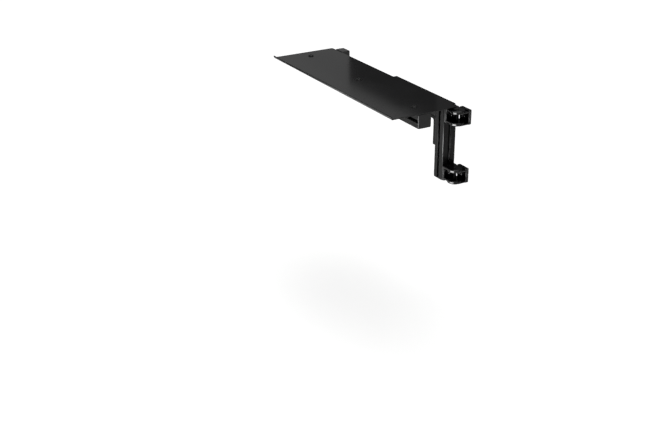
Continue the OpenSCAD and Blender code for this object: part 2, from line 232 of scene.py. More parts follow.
def grid_faces(rows: int, columns: int, wrap: bool) -> Array:
    """Quads of a grid of points stored row by row.

    Args:
        rows: number of rows.
        columns: number of points in a row.
        wrap: whether the last column joins the first.

    Returns:
        Four indices per quad, counter-clockwise seen from outside when rows rise and
        columns run counter-clockwise.
    """
    row = np.arange(rows - 1)[:, None] * columns
    column = np.arange(columns if wrap else columns - 1)[None, :]
    after = (column + 1) % columns
    quads = [row + column, row + after, row + columns + after, row + columns + column]
    return np.stack(quads, axis=-1).reshape(-1, 4)


def end_faces(points: Array, rims: Sequence[Array], top: bool) -> list[list[int]]:
    """Faces of a prism's flat end, with any holes left open.

    Args:
        points: all the prism's points.
        rims: indices at this end, round the outline and then round each hole.
        top: whether the end faces up.

    Returns:
        One many-sided face where there is no hole, or else triangles round the holes.
    """
    if len(rims) == 1:
        return [(rims[0] if top else rims[0][::-1]).tolist()]
    loops = [[Vector(p) for p in points[r].tolist()] for r in rims]
    made = np.concatenate(rims)[np.array(tessellate_polygon(loops))]
    a, b, c = (points[made[:, k]] for k in range(3))
    up = np.cross(b - a, c - a)[:, 2] > 0
    made[up != top] = made[up != top][:, ::-1]
    return made.tolist()


def prism(outline: Outline, levels: Array, holes: Sequence[Array] = (),
          weights: Array | None = None) -> Shell:
    """Extrudes an outline through rows of height and inset, with holes right through it.

    Args:
        outline: the outline in the plane.
        levels: rows of height and inset from the bottom up.
        holes: loops of the holes in the plane, counter-clockwise.
        weights: share of the inset that each corner of the outline takes.

    Returns:
        A closed shell with flat sides and ends and smooth arcs and rims.
    """
    share = np.ones(len(outline.corners)) if weights is None else weights
    rings = np.stack([outline.loop(inset * share) for _, inset in levels])
    count = rings.shape[1]
    height = np.repeat(levels[:, 0], count)[:, None]
    points = [np.hstack([rings.reshape(-1, 2), height])]
    faces = grid_faces(len(levels), count, True)
    level_flat = np.isclose(np.diff(levels[:, 1]), 0)
    smooth = (~level_flat[:, None] | outline.arcs()[None, :]).ravel().tolist()
    face_list = faces.tolist()
    low, high = levels[0, 0], levels[-1, 0]
    base = len(points[0])
    for hole in holes:
        n = len(hole)
        wall = np.concatenate([np.column_stack([hole, np.full(n, z)]) for z in (low, high)])
        points.append(wall)
        quads = grid_faces(2, n, True)[:, ::-1] + base
        face_list += quads.tolist()
        smooth += [True] * len(quads)
        base += 2 * n
    all_points = np.concatenate(points)
    for top in (False, True):
        rims = [np.arange(count) + (len(levels) - 1) * count * top]
        start = len(points[0])
        for hole in holes:
            rims.append(np.arange(len(hole)) + start + len(hole) * top)
            start += 2 * len(hole)
        made = end_faces(all_points, rims, top)
        face_list += made
        smooth += [False] * len(made)
    return Shell(all_points, face_list, smooth)


class Ring(Enum):
    """Form of one ring of a turned piece."""

    ROUND = 0
    HEX = 1
    KNURL = 2


Row = tuple[float, float, Ring]


@dataclass(frozen=True)
class Turned:
    """Piece turned about its z axis: rows of radius, height and ring form.

    A hexagonal ring has radius / cos(angle from the middle of its flat). A knurled ring's
    radius swings by the knurl depth with the cosine of ridges * angle.
    """

    rows: tuple[Row, ...]
    segments: int = 72
    ridges: int = 36
    knurl: float = 0.16

    def shell(self) -> Shell:
        """Builds the closed surface from the axis at the first row to the axis at the last.

        Returns:
            The shell, with a flat face at each end.
        """
        spec = np.array([(r, z, form.value) for r, z, form in self.rows])
        angle = np.linspace(0, 2 * np.pi, self.segments, endpoint=False)
        sixth = np.pi / 3
        hexagon = 1 / np.cos((angle + sixth / 2) % sixth - sixth / 2)
        ridge = self.knurl * (np.cos(self.ridges * angle) - 1) / 2
        form = spec[:, 2, None]
        radius = spec[:, 0, None] * np.where(form == Ring.HEX.value, hexagon[None, :], 1.0)
        radius = radius + np.where(form == Ring.KNURL.value, ridge[None, :], 0.0)
        x, y = radius * np.cos(angle), radius * np.sin(angle)
        z = np.broadcast_to(spec[:, 1, None], x.shape)
        points = np.stack([x, y, z], axis=-1).reshape(-1, 3)
        faces = grid_faces(len(spec), self.segments, True)[:, ::-1]
        last = len(points) - self.segments + np.arange(self.segments)
        face_list = faces.tolist() + [np.arange(self.segments).tolist(), last[::-1].tolist()]
        return Shell(points, face_list, [True] * len(faces) + [False, False])


def socket_rows(size: float, top: float, depth: float, point: float, lead: Pair) -> list[Row]:
    """Rows of a hexagon socket, from the drilled point under its floor to its mouth.

    Args:
        size: half the width across the flats.
        top: height of the mouth.
        depth: depth of the floor under the mouth.
        point: depth of the drilled point under the floor.
        lead: how far the mouth widens, and over which depth.

    Returns:
        Four rows of a turned piece.
    """
    floor = top - depth
    return [
        (size * POINT_SHARE, floor - point, Ring.ROUND), (size * FLOOR_SHARE, floor, Ring.HEX),
        (size, top - lead[1], Ring.HEX), (size + lead[0], top, Ring.HEX),
    ]


def thread(radius: float, low: float, high: float, pitch: float, depth: float) -> Shell:
    """Threaded rod as one surface of angle and height.

    The radius falls by the depth times the triangle wave of height / pitch - angle / turn,
    and the wave fades over one pitch at both ends.

    Args:
        radius: outer radius of the thread.
        low: height of its lower end.
        high: height of its upper end.
        pitch: height of one turn.
        depth: depth of the groove.

    Returns:
        A closed rod.
    """
    segments, per_pitch = 48, 8
    end_wave, end_sink = 0.3, 0.6
    angle = np.linspace(0, 2 * np.pi, segments, endpoint=False)[None, :]
    rows = int(round((high - low) / pitch * per_pitch)) + 1
    height = np.linspace(low, high, rows)[:, None]
    phase = (height / pitch - angle / (2 * np.pi)) % 1.0
    wave = 1 - np.abs(2 * phase - 1)
    end = np.clip(np.minimum(height - low, high - height) / pitch, 0, 1)
    share = end_wave + (1 - end_wave) * end
    bound = radius - depth * wave * share - depth * end_sink * (1 - end)
    points = np.stack(
        [bound * np.cos(angle), bound * np.sin(angle), np.broadcast_to(height, bound.shape)], axis=-1
    ).reshape(-1, 3)
    faces = grid_faces(rows, segments, True)
    last = len(points) - segments + np.arange(segments)
    face_list = faces.tolist() + [np.arange(segments)[::-1].tolist(), last.tolist()]
    return Shell(points, face_list, [True] * len(faces) + [False, False])


# Materials


def link(tree: Any, source: Any, target: Any) -> None:
    """Joins two sockets of a node tree."""
    tree.links.new(source, target)


def add_node(tree: Any, kind: str, **values: Any) -> Any:
    """Adds a node and sets its properties, or its inputs by name.

    Args:
        tree: the node tree.
        kind: the node's type.
        values: properties, or inputs whose names have spaces written as underscores.

    Returns:
        The new node.
    """
    node = tree.nodes.new(kind)
    for name, value in values.items():
        if hasattr(node, name):
            setattr(node, name, value)
        else:
            node.inputs[name.replace("_", " ")].default_value = value
    return node


def new_group(name: str, inputs: dict[str, float], outputs: dict[str, str]) -> Any:
    """Starts a shader node group with named sockets.

    Args:
        name: the group's name.
        inputs: float inputs and their defaults.
        outputs: outputs and their socket types.

    Returns:
        The empty group tree.
    """
    tree = bpy.data.node_groups.new(name, "ShaderNodeTree")
    for label, value in inputs.items():
        socket = tree.interface.new_socket(name=label, in_out="INPUT", socket_type="NodeSocketFloat")
        socket.default_value = value
    for label, kind in outputs.items():
        tree.interface.new_socket(name=label, in_out="OUTPUT", socket_type=kind)
    return tree


def mapped_noise(tree: Any, scale: Vec3, detail: float, roughness: float, coordinates: Any) -> Any:
    """Noise read through a mapping, so that it can be stretched along an axis.

    Args:
        tree: the node tree.
        scale: cells per metre along X, Y and Z.
        detail: octaves of the noise.
        roughness: share of each finer octave.
        coordinates: the texture coordinate node.

    Returns:
        The noise node.
    """
    mapping = add_node(tree, "ShaderNodeMapping")
    mapping.inputs["Scale"].default_value = scale
    noise = add_node(tree, "ShaderNodeTexNoise", Scale=1.0, Detail=detail, Roughness=roughness)
    link(tree, coordinates.outputs["Object"], mapping.inputs["Vector"])
    link(tree, mapping.outputs["Vector"], noise.inputs["Vector"])
    return noise


def map_range(tree: Any, source: Any, low: float, high: float, to_low: float, to_high: float) -> Any:
    """Clamped linear change of a value's range.

    Args:
        tree: the node tree.
        source: the socket with the value.
        low: value that becomes to_low.
        high: value that becomes to_high.
        to_low: result at the low value.
        to_high: result at the high value.

    Returns:
        The socket with the result.
    """
    node = add_node(tree, "ShaderNodeMapRange")
    for name, value in zip(("From Min", "From Max", "To Min", "To Max"), (low, high, to_low, to_high)):
        node.inputs[name].default_value = value
    link(tree, source, node.inputs["Value"])
    return node.outputs["Result"]


@dataclass(frozen=True)
class HandlingMarks:
    """Group: dust specks and wiped patches over a surface."""

    name: str = "handling marks"
    speck_band: Pair = (0.66, 0.74)
    patch_band: Pair = (0.35, 0.68)

    def tree(self) -> Any:
        """Builds the group once and returns it.

        Returns:
            A group with Speck Scale, Patch Scale and Speck Amount in, and Dust and Wipe out.
        """
        made = bpy.data.node_groups.get(self.name)
        if made:
            return made
        tree = new_group(
            self.name,
            {"Speck Scale": 900.0, "Patch Scale": 14.0, "Speck Amount": 0.5},
            {"Dust": "NodeSocketFloat", "Wipe": "NodeSocketFloat"},
        )
        source, sink = add_node(tree, "NodeGroupInput"), add_node(tree, "NodeGroupOutput")
        coordinates = add_node(tree, "ShaderNodeTexCoord")
        speck = add_node(tree, "ShaderNodeTexNoise", Detail=2.0, Roughness=0.6)
        patch = add_node(tree, "ShaderNodeTexNoise", Detail=4.0, Roughness=0.55, Distortion=0.6)
        for noise, label in ((speck, "Speck Scale"), (patch, "Patch Scale")):
            link(tree, coordinates.outputs["Object"], noise.inputs["Vector"])
            link(tree, source.outputs[label], noise.inputs["Scale"])
        dots = map_range(tree, speck.outputs["Fac"], *self.speck_band, 0.0, 1.0)
        wiped = map_range(tree, patch.outputs["Fac"], *self.patch_band, 0.0, 1.0)
        amount = add_node(tree, "ShaderNodeMath", operation="MULTIPLY")
        link(tree, dots, amount.inputs[0])
        link(tree, source.outputs["Speck Amount"], amount.inputs[1])
        held = add_node(tree, "ShaderNodeMath", operation="MULTIPLY")
        link(tree, amount.outputs[0], held.inputs[0])
        link(tree, wiped, held.inputs[1])
        link(tree, held.outputs[0], sink.inputs["Dust"])
        link(tree, wiped, sink.inputs["Wipe"])
        return tree


@dataclass(frozen=True)
class FineTexture:
    """Group: the pebbled skin of powder coat, lacquer or moulded plastic."""

    name: str = "fine texture"

    def tree(self) -> Any:
        """Builds the group once and returns it.

        Returns:
            A group with Scale, Strength and Height in, and Normal and Cell out.
        """
        made = bpy.data.node_groups.get(self.name)
        if made:
            return made
        tree = new_group(
            self.name,
            {"Scale": 2600.0, "Strength": 0.3, "Height": 0.0001},
            {"Normal": "NodeSocketVector", "Cell": "NodeSocketFloat"},
        )
        source, sink = add_node(tree, "NodeGroupInput"), add_node(tree, "NodeGroupOutput")
        coordinates = add_node(tree, "ShaderNodeTexCoord")
        noise = add_node(tree, "ShaderNodeTexNoise", Detail=2.0, Roughness=0.5)
        bump = add_node(tree, "ShaderNodeBump")
        link(tree, coordinates.outputs["Object"], noise.inputs["Vector"])
        link(tree, source.outputs["Scale"], noise.inputs["Scale"])
        link(tree, noise.outputs["Fac"], bump.inputs["Height"])
        link(tree, source.outputs["Strength"], bump.inputs["Strength"])
        link(tree, source.outputs["Height"], bump.inputs["Distance"])
        link(tree, bump.outputs["Normal"], sink.inputs["Normal"])
        link(tree, noise.outputs["Fac"], sink.inputs["Cell"])
        return tree


@dataclass(frozen=True)
class Finish:
    """A finish of this table: colour range, gloss range, skin and marks."""

    name: str
    dark: Vec3
    light: Vec3
    rough_low: float
    rough_high: float
    metallic: float = 0.0
    specular: float = 0.5
    coat: float = 0.0
    coat_rough: float = 0.1
    texture_scale: float = 2600.0
    texture_strength: float = 0.3
    texture_height: float = 0.0001
    dust: float = 0.4
    patch_scale: float = 14.0
    grain: Grain | None = None
    grain_strength: float = 0.25
    grain_depth: float = 0.00005
    wipe_tone: float = 0.35
    cell_band: Pair = (0.3, 0.7)
    cell_gloss: float = 0.03

    def material(self) -> Any:
        """Builds the material once and returns it.

        Returns:
            A node material that reads Object coordinates.
        """
        made = bpy.data.materials.get(self.name)
        if made:
            return made
        material = bpy.data.materials.new(self.name)
        material.use_nodes = True
        tree = material.node_tree
        shader = tree.nodes["Principled BSDF"]
        shader.inputs["Metallic"].default_value = self.metallic
        shader.inputs["Specular IOR Level"].default_value = self.specular
        shader.inputs["Coat Weight"].default_value = self.coat
        shader.inputs["Coat Roughness"].default_value = self.coat_rough
        marks = add_node(tree, "ShaderNodeGroup", node_tree=HandlingMarks().tree())
        marks.inputs["Speck Amount"].default_value = self.dust
        marks.inputs["Patch Scale"].default_value = self.patch_scale
        skin = add_node(tree, "ShaderNodeGroup", node_tree=FineTexture().tree())
        skin.inputs["Scale"].default_value = self.texture_scale
        skin.inputs["Strength"].default_value = self.texture_strength
        skin.inputs["Height"].default_value = self.texture_height
        blend = add_node(tree, "ShaderNodeMix", data_type="RGBA")
        blend.inputs[MIX_FIRST].default_value = (*self.dark, 1.0)
        blend.inputs[MIX_SECOND].default_value = (*self.light, 1.0)
        tone = add_node(tree, "ShaderNodeMath", operation="MULTIPLY_ADD", use_clamp=True)
        tone.inputs[1].default_value = self.wipe_tone
        link(tree, marks.outputs["Wipe"], tone.inputs[0])
        link(tree, marks.outputs["Dust"], tone.inputs[2])
        link(tree, tone.outputs[0], blend.inputs[MIX_FACTOR])
        link(tree, blend.outputs[MIX_RESULT], shader.inputs["Base Color"])
        gloss = add_node(tree, "ShaderNodeMath", operation="ADD", use_clamp=True)
        speckled = map_range(tree, skin.outputs["Cell"], *self.cell_band, -self.cell_gloss, self.cell_gloss)
        rough = map_range(tree, marks.outputs["Wipe"], 0, 1, self.rough_low, self.rough_high)
        link(tree, rough, gloss.inputs[0])
        link(tree, speckled, gloss.inputs[1])
        link(tree, gloss.outputs[0], shader.inputs["Roughness"])
        normal = skin.outputs["Normal"]
        if self.grain is not None:
            normal = self._drawn_lines(tree, normal)
        link(tree, normal, shader.inputs["Normal"])
        return material

    def _drawn_lines(self, tree: Any, under: Any) -> Any:
        """Adds the die lines of a drawn profile over another normal.

        Args:
            tree: the material's node tree.
            under: the normal that the lines lie on.

        Returns:
            The normal socket with the lines.
        """
        across, lengthwise = 5200.0, 6.0
        scale = [across, across, across]
        scale[self.grain.value] = lengthwise
        coordinates = add_node(tree, "ShaderNodeTexCoord")
        noise = mapped_noise(tree, tuple(scale), 2.0, 0.5, coordinates)
        bump = add_node(tree, "ShaderNodeBump", Strength=self.grain_strength, Distance=self.grain_depth)
        link(tree, noise.outputs["Fac"], bump.inputs["Height"])
        link(tree, under, bump.inputs["Normal"])
        return bump.outputs["Normal"]


POWDER_COAT = Finish(
    "satin black powder coat", (0.004, 0.004, 0.0043), (0.009, 0.009, 0.0095), 0.15, 0.18,
    texture_scale=2400.0, texture_strength=0.05, texture_height=0.0001, dust=0.5,
)
LACQUERED_CASTING = Finish(
    "gloss black lacquered casting", (0.003, 0.003, 0.0033), (0.007, 0.007, 0.0075), 0.12, 0.18,
    specular=0.38, coat=0.25, coat_rough=0.05, texture_scale=500.0, texture_strength=0.03,
    texture_height=0.0002, dust=0.2, patch_scale=40.0,
)
SATIN_CASTING = Finish(
    "satin black casting", (0.004, 0.004, 0.0043), (0.009, 0.009, 0.0095), 0.34, 0.42,
    specular=0.12, texture_scale=1400.0, texture_strength=0.1, texture_height=0.0001,
    dust=0.3, patch_scale=40.0,
)
BLACK_OXIDE = Finish(
    "black oxide steel", (0.05, 0.05, 0.052), (0.1, 0.098, 0.095), 0.2, 0.32, metallic=0.95,
    texture_scale=3000.0, texture_strength=0.2, dust=0.2, patch_scale=60.0,
)
BLACK_ZINC = Finish(
    "black zinc screws", (0.006, 0.006, 0.0063), (0.014, 0.014, 0.0144), 0.24, 0.32, specular=0.3,
    texture_scale=3000.0, texture_strength=0.1, dust=0.2, patch_scale=60.0,
)
# Steel pins whose colour is darkened nearly to black and whose shine is all but turned off: painted shade of
# the joint's window they sit in
PIN_STEEL_PAINTED_SHADE = Finish(
    "pin steel darkened as painted shade", (0.005, 0.005, 0.005), (0.012, 0.012, 0.0115), 0.55, 0.7, specular=0.02,
    texture_scale=3000.0, texture_strength=0.2, dust=0.1, patch_scale=60.0,
)
ZINC_PLATE = Finish(
    "zinc plated steel", (0.42, 0.43, 0.45), (0.62, 0.62, 0.6), 0.2, 0.34, metallic=1.0,
    texture_scale=2200.0, texture_strength=0.15, dust=0.1, patch_scale=90.0,
)
MOULDED_NYLON = Finish(
    "black moulded nylon", (0.008, 0.008, 0.0085), (0.018, 0.018, 0.019), 0.34, 0.44,
    texture_scale=3400.0, texture_strength=0.35, texture_height=0.0001, dust=0.4, patch_scale=30.0,
)
PAD_RUBBER = Finish(
    "matte black rubber", (0.006, 0.006, 0.006), (0.016, 0.0155, 0.015), 0.7, 0.85, specular=0.15,
    texture_scale=1500.0, texture_strength=0.5, dust=0.8, patch_scale=40.0,
)


def anodised(grain: Grain) -> Finish:
    """Black anodising on a profile drawn along the given axis."""
    return Finish(
        f"black anodised profile {grain.name.lower()}", (0.006, 0.006, 0.0063), (0.012, 0.012, 0.0126),
        0.22, 0.28, specular=0.22, texture_scale=4200.0, texture_strength=0.05, dust=0.3,
        patch_scale=24.0, grain=grain, grain_strength=0.04,
    )


# Pieces


@dataclass
class Workshop:
    """Makes finished mesh pieces and keeps count of them."""

    made: list[str] = field(default_factory=list)

    def piece(self, name: str, shells: Sequence[Shell], finish: Finish, body: Body,
              nodes: Sequence[str], weld: float = 0.0) -> None:
        """Joins shells into one mesh, dresses it and seats it on its body.

        Args:
            name: the piece's name.
            shells: its parts in the row frame, in millimetres.
            finish: its finish.
            body: the body that it rides on.
            nodes: the CAD nodes that it stands for.
            weld: distance under which points merge, in millimetres; 0 merges none.
        """
        points, faces, smooth, start = [], [], [], 0
        for shell in shells:
            points.append(shell.points)
            faces += [[start + i for i in face] for face in shell.faces]
            smooth += shell.smooth
            start += len(shell.points)
        mesh = bpy.data.meshes.new(name)
        mesh.from_pydata((np.concatenate(points) * METRES_PER_MM).tolist(), [], faces)
        mesh.polygons.foreach_set("use_smooth", smooth)
        if weld:
            weld_mesh(mesh, weld * METRES_PER_MM)
        mesh.validate()
        mesh.update()
        mesh.materials.append(finish.material())
        item = bpy.data.objects.new(name, mesh)
        bpy.context.scene.collection.objects.link(item)
        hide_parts(*nodes)
        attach(item, body.value)
        self.made.append(name)
        LOG.info("%s: %d faces", name, len(mesh.polygons))

    def bolts(self, name: str, shells: Sequence[Shell], body: Body, node: str) -> None:
        """Makes a piece of black bolts."""
        self.piece(name, shells, BLACK_OXIDE, body, [node])

    def nuts(self, name: str, shells: Sequence[Shell], body: Body, node: str) -> None:
        """Makes a piece of zinc plated slot nuts."""
        self.piece(name, shells, ZINC_PLATE, body, [node])


def weld_mesh(mesh: Any, distance: float) -> None:
    """Merges points of a mesh that lie close together.

    Args:
        mesh: the mesh to change.
        distance: distance under which points merge, in metres.
    """
    work = bmesh.new()
    work.from_mesh(mesh)
    bmesh.ops.remove_doubles(work, verts=work.verts, dist=distance)
    work.to_mesh(mesh)
    work.free()


@dataclass(frozen=True)
class SlottedProfile:
    """Square profile with one slot in each side."""

    side: float = 40.0
    corner: float = 3.5
    mouth: float = 8.6
    lip: float = 4.5
    channel: float = 20.0
    wall: float = 1.8
    depth: float = 12.3
    mouth_round: float = 0.5
    inner_round: float = 0.4
    end_round: float = 0.25

    def outline(self) -> Outline:
        """The section: one quarter's corners turned by 0, 90, 180 and 270 degrees.

        Returns:
            The outline with its four slots.
        """
        half, mouth, channel = self.side / 2, self.mouth / 2, self.channel / 2
        lip_y = half - self.lip
        wall_y, floor_y = lip_y - self.wall, half - self.depth
        floor = channel - (wall_y - floor_y)
        quarter = np.array([
            (half, half, self.corner), (mouth, half, self.mouth_round), (mouth, lip_y, self.inner_round),
            (channel, lip_y, self.inner_round), (channel, wall_y, self.inner_round),
            (floor, floor_y, self.inner_round), (-floor, floor_y, self.inner_round),
            (-channel, wall_y, self.inner_round), (-channel, lip_y, self.inner_round),
            (-mouth, lip_y, self.inner_round), (-mouth, half, self.mouth_round),
        ])
        turn = np.arange(4) * np.pi / 2
        cos, sin = np.cos(turn)[:, None], np.sin(turn)[:, None]
        x = cos * quarter[:, 0] - sin * quarter[:, 1]
        y = sin * quarter[:, 0] + cos * quarter[:, 1]
        radius = np.broadcast_to(quarter[:, 2], x.shape)
        rows = np.stack([x, y, radius], axis=-1).reshape(-1, 3)
        return Outline(tuple(map(tuple, rows.tolist())), steps=4)

    def bar(self, length: float, placement: Placement) -> Shell:
        """A length of the profile, standing on the placement's origin."""
        levels = rim(0.0, length, self.end_round, self.end_round, steps=2)
        return prism(self.outline(), levels).placed(placement)


@dataclass(frozen=True)
class EndCap:
    """Moulded cap on a profile's end."""

    side: float = 39.2
    corner: float = 3.5
    thickness: float = 3.0
    edge: float = 1.6
    seat_edge: float = 0.1
    plug_radius: float = 1.0
    plug_length: float = 9.0
    plug_edge: float = 0.3

    def shells(self, placement: Placement) -> list[Shell]:
        """The plate, rounded along its outer edge, and its plug in the profile.

        Args:
            placement: the profile's end, with z pointing out of it.

        Returns:
            The plate and the plug in the row frame.
        """
        half = self.side / 2
        levels = rim(0, self.thickness, self.seat_edge, self.edge, steps=4)
        plate = prism(rectangle(-half, -half, half, half, self.corner, steps=8), levels)
        r = self.plug_radius
        plug = prism(rectangle(-r, -r, r, r, r), rim(-self.plug_length, 0, self.plug_edge, 0))
        return [plate.placed(placement), plug.placed(placement)]


@dataclass(frozen=True)
class CapBolt:
    """Socket cap bolt with a knurled head; its seat is z = 0 and the thread runs down.

    The crown's and the base's pairs go in from the head's radius, then down from its top or up
    from its seat. The knurl starts over the seat and ends under the top.
    """

    thread_radius: float = 4.0
    head_radius: float = 6.5
    head_height: float = 8.0
    socket: float = 3.0
    socket_depth: float = 4.0
    point: float = 0.8
    lead: Pair = (0.35, 0.4)
    crown: tuple[Pair, ...] = ((1.1, 0.0), (0.45, 0.15), (0.1, 0.6))
    knurled: Pair = (1.2, 1.0)
    base: tuple[Pair, ...] = ((0.05, 0.8), (0.3, 0.0))
    neck: float = 0.2
    overlap: float = 0.1
    pitch: float = 1.25
    groove: float = 0.6
    segments: int = 144

    def shells(self, length: float, placement: Placement) -> list[Shell]:
        """The head as one turned piece, and the threaded shank.

        Args:
            length: length under the head.
            placement: where the seat's centre lies.

        Returns:
            The head and the shank in the row frame.
        """
        top, outer = self.head_height, self.head_radius
        head = Turned((
            *socket_rows(self.socket, top, self.socket_depth, self.point, self.lead),
            *((outer - inset, top - drop, Ring.ROUND) for inset, drop in self.crown),
            (outer, top - self.knurled[1], Ring.KNURL), (outer, self.knurled[0], Ring.KNURL),
            *((outer - inset, rise, Ring.ROUND) for inset, rise in self.base),
            (self.thread_radius, 0.0, Ring.ROUND), (self.thread_radius, -self.neck, Ring.ROUND),
        ), self.segments)
        shank = thread(self.thread_radius, -length, self.overlap, self.pitch, self.groove)
        return [head.shell().placed(placement), shank.placed(placement)]


@dataclass(frozen=True)
class FlangedScrew:
    """Domed screw with a flange and a hexagon socket; its seat is z = 0.

    The pairs of the flange's edge and the base go in from the flange's radius, then down from
    its top or up from its seat.
    """

    thread_radius: float = 4.0
    flange_radius: float = 8.4
    flange_height: float = 1.3
    dome_radius: float = 7.0
    dome_height: float = 3.2
    socket: float = 2.5
    socket_depth: float = 2.2
    point: float = 0.6
    lead: Pair = (0.3, 0.3)
    land: float = 2.5
    skirt: Pair = (0.3, 0.1)
    flange_edge: tuple[Pair, ...] = ((0.5, 0.25), (0.1, 0.5))
    base: tuple[Pair, ...] = ((0.0, 0.5), (0.15, 0.0))
    neck: float = 0.2
    overlap: float = 0.1
    pitch: float = 1.25
    groove: float = 0.6
    segments: int = 96

    def shells(self, length: float, placement: Placement) -> list[Shell]:
        """The head, whose dome is a quarter ellipse of radius and height, and the shank.

        Args:
            length: length under the head.
            placement: where the seat's centre lies.

        Returns:
            The head and the shank in the row frame.
        """
        top, crest, outer = self.dome_height, self.flange_height, self.flange_radius
        land = self.socket + self.land
        angle = np.linspace(0, np.pi / 2, 9)[1:]
        swell = land + (self.dome_radius - land) * np.sin(angle)
        fall = crest + (top - crest) * np.cos(angle)
        head = Turned((
            *socket_rows(self.socket, top, self.socket_depth, self.point, self.lead),
            (land, top, Ring.ROUND),
            *((float(r), float(z), Ring.ROUND) for r, z in zip(swell, fall)),
            (self.dome_radius + self.skirt[0], crest - self.skirt[1], Ring.ROUND),
            *((outer - inset, crest - drop, Ring.ROUND) for inset, drop in self.flange_edge),
            *((outer - inset, rise, Ring.ROUND) for inset, rise in self.base),
            (self.thread_radius, 0.0, Ring.ROUND), (self.thread_radius, -self.neck, Ring.ROUND),
        ), self.segments)
        shank = thread(self.thread_radius, -length, self.overlap, self.pitch, self.groove)
        return [head.shell().placed(placement), shank.placed(placement)]


@dataclass(frozen=True)
class SlotNut:
    """Sliding nut under a slot's lips; the profile's face is z = 0 and the slot runs along y."""

    length: float = 20.0
    half_width: float = 9.7
    top: float = 4.8
    height: float = 6.0
    shoulder: float = 6.3
    low_half: float = 4.9
    collar_half: float = 4.0
    collar: float = 2.0
    edge: float = 0.3

    def shell(self, placement: Placement) -> Shell:
        """The nut's section, drawn across the slot and run along it.

        Args:
            placement: the profile's face, with z pointing out of it.

        Returns:
            The nut in the row frame.
        """
        low, edge = self.top + self.height, self.edge
        section = Outline((
            (-self.half_width, -self.shoulder, edge), (-self.low_half, -low, edge),
            (self.low_half, -low, edge), (self.half_width, -self.shoulder, edge),
            (self.half_width, -self.top, edge),
            (self.collar_half, -self.top, edge), (self.collar_half, self.collar - self.top, edge),
            (-self.collar_half, self.collar - self.top, edge), (-self.collar_half, -self.top, edge),
            (-self.half_width, -self.top, edge),
        ), steps=2)
        half = self.length / 2
        body = prism(section, rim(-half, half, edge, edge, steps=2))
        turned = Placement((0, 0, 0), (1, 0, 0), (0, 0, 1), (0, -1, 0))
        return body.placed(turned).placed(placement)


@dataclass(frozen=True)
class HingePin:
    """Pin with a shallow hexagon socket and turned-in ends; its middle is z = 0.

    The crown's and the base's pairs go in from the pin's radius, then down from its top or up
    from its foot.
    """

    length: float = 40.0
    radius: float = 4.0
    socket: float = 2.0
    socket_depth: float = 2.15
    point: float = 0.4
    lead: Pair = (0.2, 0.25)
    mouth_drop: float = 0.05
    crown: tuple[Pair, ...] = ((0.5, 0.05), (0.05, 0.4), (0.0, 0.7))
    base: tuple[Pair, ...] = ((0.0, 0.7), (0.4, 0.0))

    def shell(self, placement: Placement) -> Shell:
        """The pin as one turned piece.

        Args:
            placement: where the pin's middle lies.

        Returns:
            The pin in the row frame.
        """
        half, r = self.length / 2, self.radius
        return Turned((
            *socket_rows(self.socket, half - self.mouth_drop, self.socket_depth, self.point, self.lead),
            *((r - inset, half - drop, Ring.ROUND) for inset, drop in self.crown),
            *((r - inset, up - half, Ring.ROUND) for inset, up in self.base),
        )).shell().placed(placement)


# Assemblies


